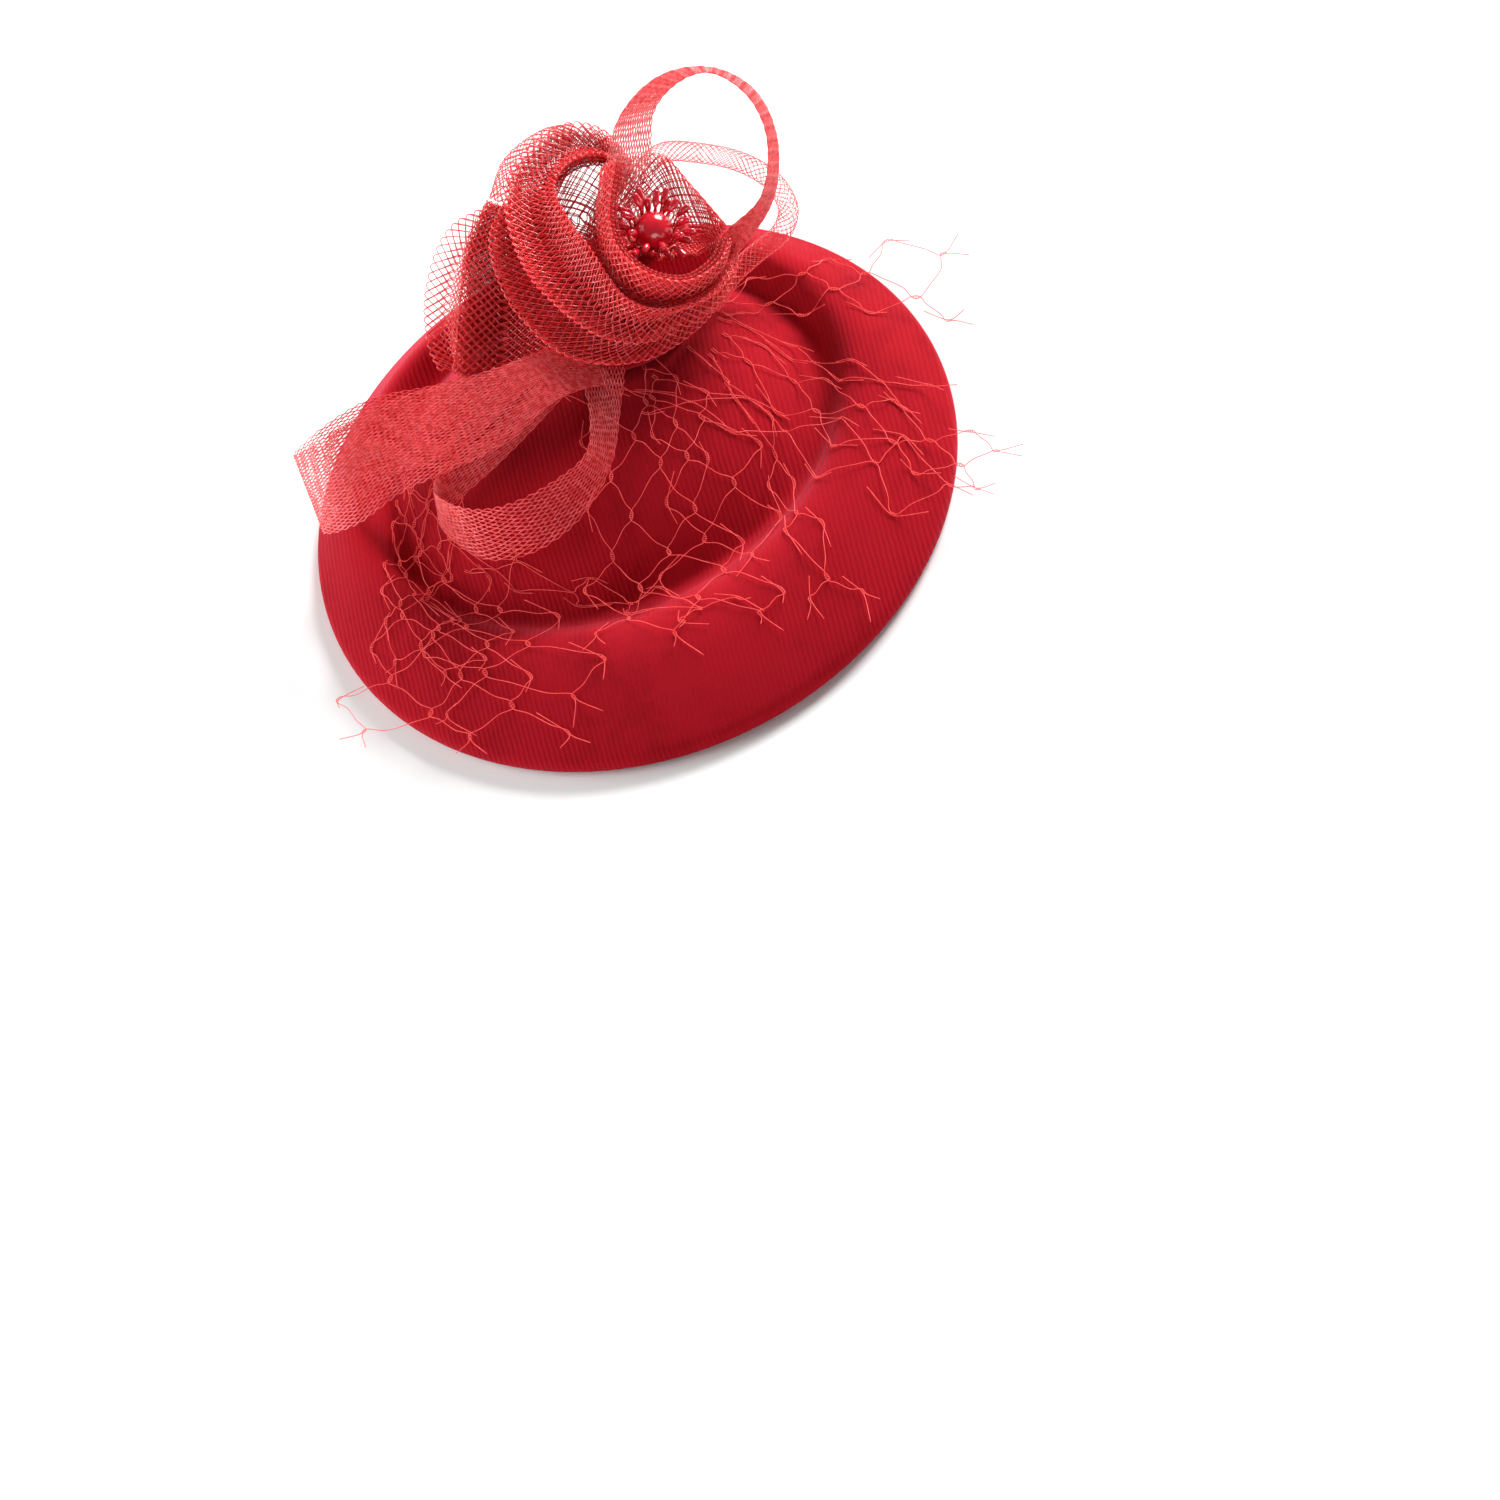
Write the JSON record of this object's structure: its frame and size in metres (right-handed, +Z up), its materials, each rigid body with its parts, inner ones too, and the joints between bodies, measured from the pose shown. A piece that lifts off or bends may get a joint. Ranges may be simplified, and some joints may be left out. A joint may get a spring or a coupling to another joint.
{
  "type": "fascinator headpiece",
  "caption": "Red felt percher hat with a tubular crin rose, looped braid, stamens and an open net veil, worn tilted and held in the hair by sprung clips under the crown.",
  "frame": {"origin": "centre of the brim's edge, on the plane of its lowest points; the hat sits on the head here", "axes": "+Z up out of the crown, -Y towards the side that the trim and the veil face, +X to the wearer-side edge that the tall loop leans over"},
  "size_m": [0.2552, 0.2, 0.0839],
  "materials": {
    "felt": "brushed velour with fine ribs",
    "buckram": "stiffened open weave",
    "lining": "satin",
    "crin": "glossy horsehair mesh",
    "braid": "shiny open lengthwise braid",
    "net": "matt knotted thread",
    "bead": "high gloss",
    "clip": "nickel plated"
  },
  "bodies": {
    "hat": {"felt_cover": "felt", "buckram_core": "buckram", "lining": "lining", "trim_disc": "felt", "bound_stem": "net", "centre_bead": "bead", "stamens": "bead", "petal_outer": "crin", "petal_second": "crin", "petal_cup": "crin", "petal_fan": "crin", "petal_side": "crin", "petal_left": "crin", "petal_back": "crin", "crin_tube_loop": "crin", "braid_loop_tall": "braid", "braid_loop_left": "braid", "braid_loop_low": "braid", "veil_front": "net", "veil_side": "net", "clip_left_fixed_jaw": "clip", "clip_left_pin": "clip", "clip_left_spring": "clip", "clip_right_fixed_jaw": "clip", "clip_right_pin": "clip", "clip_right_spring": "clip"},
    "clip_left_jaw": {"clip_left_moving_jaw": "clip"},
    "clip_right_jaw": {"clip_right_moving_jaw": "clip"}
  },
  "joints": [
    {"name": "clip_left_open", "type": "hinge", "parent": "hat", "child": "clip_left_jaw", "pos_m": [-0.0255, 0.023, 0.0228], "axis": [1, 0, 0], "range_deg": [0, 25], "stiffness_Nm_per_rad": 0.15, "springref_deg": -28.65, "deforming": ["clip_left_spring"]},
    {"name": "clip_right_open", "type": "hinge", "parent": "hat", "child": "clip_right_jaw", "pos_m": [0.0225, 0.023, 0.0228], "axis": [1, 0, 0], "range_deg": [0, 25], "stiffness_Nm_per_rad": 0.15, "springref_deg": -28.65, "deforming": ["clip_right_spring"]}
  ]
}
